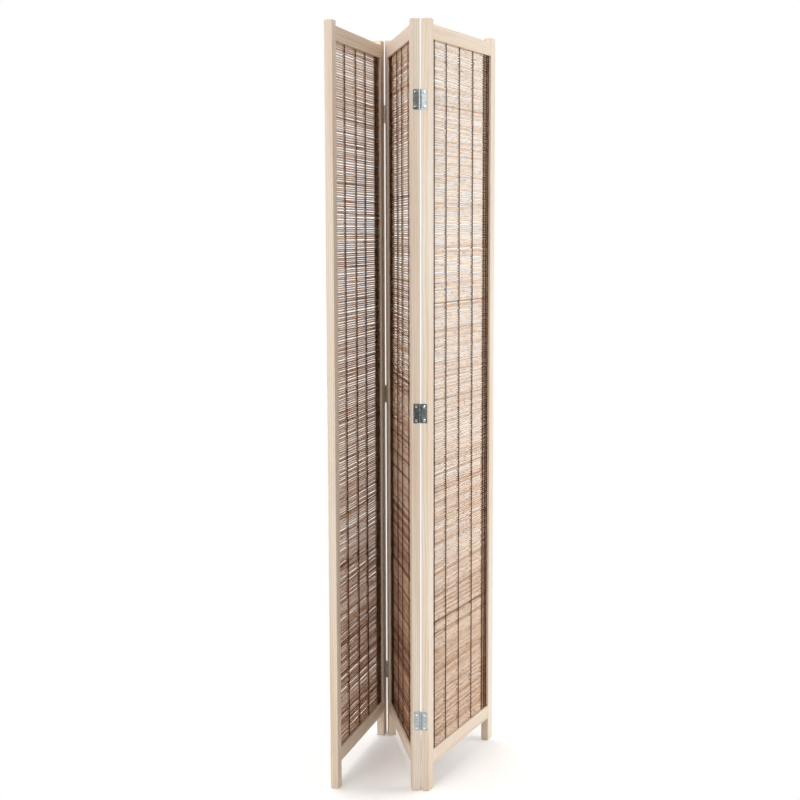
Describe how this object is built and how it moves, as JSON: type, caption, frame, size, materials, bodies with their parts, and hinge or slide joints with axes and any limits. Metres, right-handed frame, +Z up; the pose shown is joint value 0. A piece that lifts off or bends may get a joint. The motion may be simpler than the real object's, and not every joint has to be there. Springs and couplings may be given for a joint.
{
  "type": "reed folding screen",
  "caption": "Free-standing folding screen: wooden frames that hold bound reed mats, joined edge to edge by steel butt hinges so that they fold flat in a zigzag.",
  "frame": {"origin": "on the floor below the middle of the screen's outline as it stands partly folded", "axes": "+X to the viewer's right, +Y away from the viewer, +Z up along the stiles"},
  "size_m": [0.4078, 0.406, 1.8],
  "materials": {
    "frame_wood": "planed pale softwood, unvarnished",
    "dowel": "smooth beech",
    "reed": "peeled reed, satin, with darker joints",
    "cord": "dark brown twisted twine",
    "hinge_leaf": "bright zinc plate on pressed steel",
    "pin": "bright zinc plate",
    "screw": "bright zinc plate, cross recess"
  },
  "bodies": {
    "middle_panel": {"middle_left_stile": "frame_wood", "middle_right_stile": "frame_wood", "middle_top_rail": "frame_wood", "middle_bottom_rail": "frame_wood", "middle_reed_mat": "reed", "middle_mat_cords": "cord", "middle_dowels": "dowel", "middle_left_hinge_screws": "screw", "middle_right_hinge_screws": "screw", "left_lower_hinge_middle_leaf": "hinge_leaf", "left_lower_hinge_pin": "pin", "left_centre_hinge_middle_leaf": "hinge_leaf", "left_centre_hinge_pin": "pin", "left_upper_hinge_middle_leaf": "hinge_leaf", "left_upper_hinge_pin": "pin", "right_lower_hinge_middle_leaf": "hinge_leaf", "right_lower_hinge_pin": "pin", "right_centre_hinge_middle_leaf": "hinge_leaf", "right_centre_hinge_pin": "pin", "right_upper_hinge_middle_leaf": "hinge_leaf", "right_upper_hinge_pin": "pin"},
    "left_panel": {"left_outer_stile": "frame_wood", "left_hinge_stile": "frame_wood", "left_top_rail": "frame_wood", "left_bottom_rail": "frame_wood", "left_reed_mat": "reed", "left_mat_cords": "cord", "left_dowels": "dowel", "left_hinge_screws": "screw", "left_lower_hinge_side_leaf": "hinge_leaf", "left_centre_hinge_side_leaf": "hinge_leaf", "left_upper_hinge_side_leaf": "hinge_leaf"},
    "right_panel": {"right_outer_stile": "frame_wood", "right_hinge_stile": "frame_wood", "right_top_rail": "frame_wood", "right_bottom_rail": "frame_wood", "right_reed_mat": "reed", "right_mat_cords": "cord", "right_dowels": "dowel", "right_hinge_screws": "screw", "right_lower_hinge_side_leaf": "hinge_leaf", "right_centre_hinge_side_leaf": "hinge_leaf", "right_upper_hinge_side_leaf": "hinge_leaf"}
  },
  "joints": [
    {"name": "left_fold", "type": "hinge", "parent": "middle_panel", "child": "left_panel", "pos_m": [-0.07187, 0.19969, 0.9], "axis": [0, 0, -1], "range_deg": [-25.45, 154.55]},
    {"name": "right_fold", "type": "hinge", "parent": "middle_panel", "child": "right_panel", "pos_m": [0.01159, -0.19712, 0.9], "axis": [0, 0, -1], "range_deg": [-34.85, 145.15]}
  ]
}
